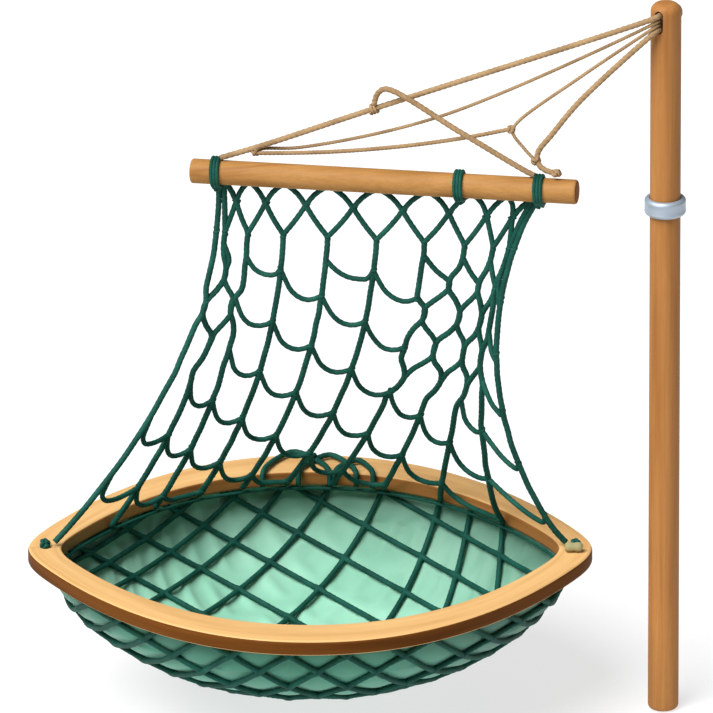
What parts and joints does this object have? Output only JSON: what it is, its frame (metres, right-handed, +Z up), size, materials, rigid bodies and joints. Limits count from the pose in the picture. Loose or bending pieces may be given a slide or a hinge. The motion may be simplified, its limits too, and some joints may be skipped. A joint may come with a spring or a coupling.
{
  "type": "hand-held lift net",
  "caption": "Lift net: a two-piece wooden pole, a cord sling, a spreader bar, a netting curtain and a lens-shaped wooden hoop with a lined, netted bag below it.",
  "frame": {"origin": "centre of the flat foot of the pole", "axes": "+Z up along the pole; +X from the hoop towards the pole; -Y is the front, the side that the cord slot is on"},
  "size_m": [0.662, 0.4964, 0.764],
  "materials": {
    "pole_wood": "satin varnish, straight grain",
    "bar_wood": "satin varnish, straight grain",
    "hoop_wood": "satin, bent lath",
    "ferrule_metal": "satin",
    "spigot_steel": "brushed",
    "tan_cord": "twisted natural fibre",
    "green_cord": "braided net twine",
    "mint_liner": "soft woven liner"
  },
  "bodies": {
    "pole_base": {"pole_lower": "pole_wood", "ferrule": "ferrule_metal"},
    "spigot": {"pole_spigot": "spigot_steel"},
    "pole_top": {"pole_upper": "pole_wood", "sling_cord_left": "tan_cord", "sling_cord_back": "tan_cord", "sling_cord_centre": "tan_cord", "sling_cord_right": "tan_cord", "sling_cord_bridle": "tan_cord", "sling_cord_long": "tan_cord", "sling_cord_short": "tan_cord", "sling_cord_tail": "tan_cord", "sling_hitch": "tan_cord", "sling_junction": "tan_cord", "sling_knot_left": "tan_cord", "sling_knot_right": "tan_cord", "sling_knot_end": "tan_cord", "sling_stopper": "tan_cord"},
    "bar": {"spreader_bar": "bar_wood"},
    "curtain": {"curtain_net": "green_cord", "bar_tie_left": "green_cord", "bar_tie_middle": "green_cord", "bar_tie_right": "green_cord"},
    "hoop": {"hoop_back": "hoop_wood", "hoop_front": "hoop_wood", "tip_tie_left": "green_cord", "tip_tie_right": "green_cord", "tip_toggle": "tan_cord", "back_tie": "green_cord", "bag_net_outer": "green_cord", "bag_liner": "mint_liner", "bag_net_inner": "green_cord"}
  },
  "joints": [
    {"name": "pole_pull", "type": "slide", "parent": "pole_base", "child": "spigot", "axis": [0, 0, 1], "range_m": [0, 0.05]},
    {"name": "pole_turn", "type": "hinge", "parent": "spigot", "child": "pole_top", "pos_m": [0, 0, 0.546], "axis": [0, 0, 1], "continuous": true},
    {"name": "bar_roll", "type": "hinge", "parent": "pole_top", "child": "bar", "pos_m": [-0.282, 0, 0.5716], "axis": [0.9779, -0.2079, 0.0242], "continuous": true},
    {"name": "net_swing", "type": "hinge", "parent": "pole_top", "child": "curtain", "pos_m": [-0.282, 0, 0.5716], "axis": [0.9779, -0.2079, 0.0242], "range_deg": [-20, 20]},
    {"name": "hoop_tilt", "type": "hinge", "parent": "curtain", "child": "hoop", "pos_m": [-0.3565, 0, 0.1747], "axis": [1, 0, 0], "range_deg": [-6, 20], "deforming": ["curtain_net"]}
  ]
}
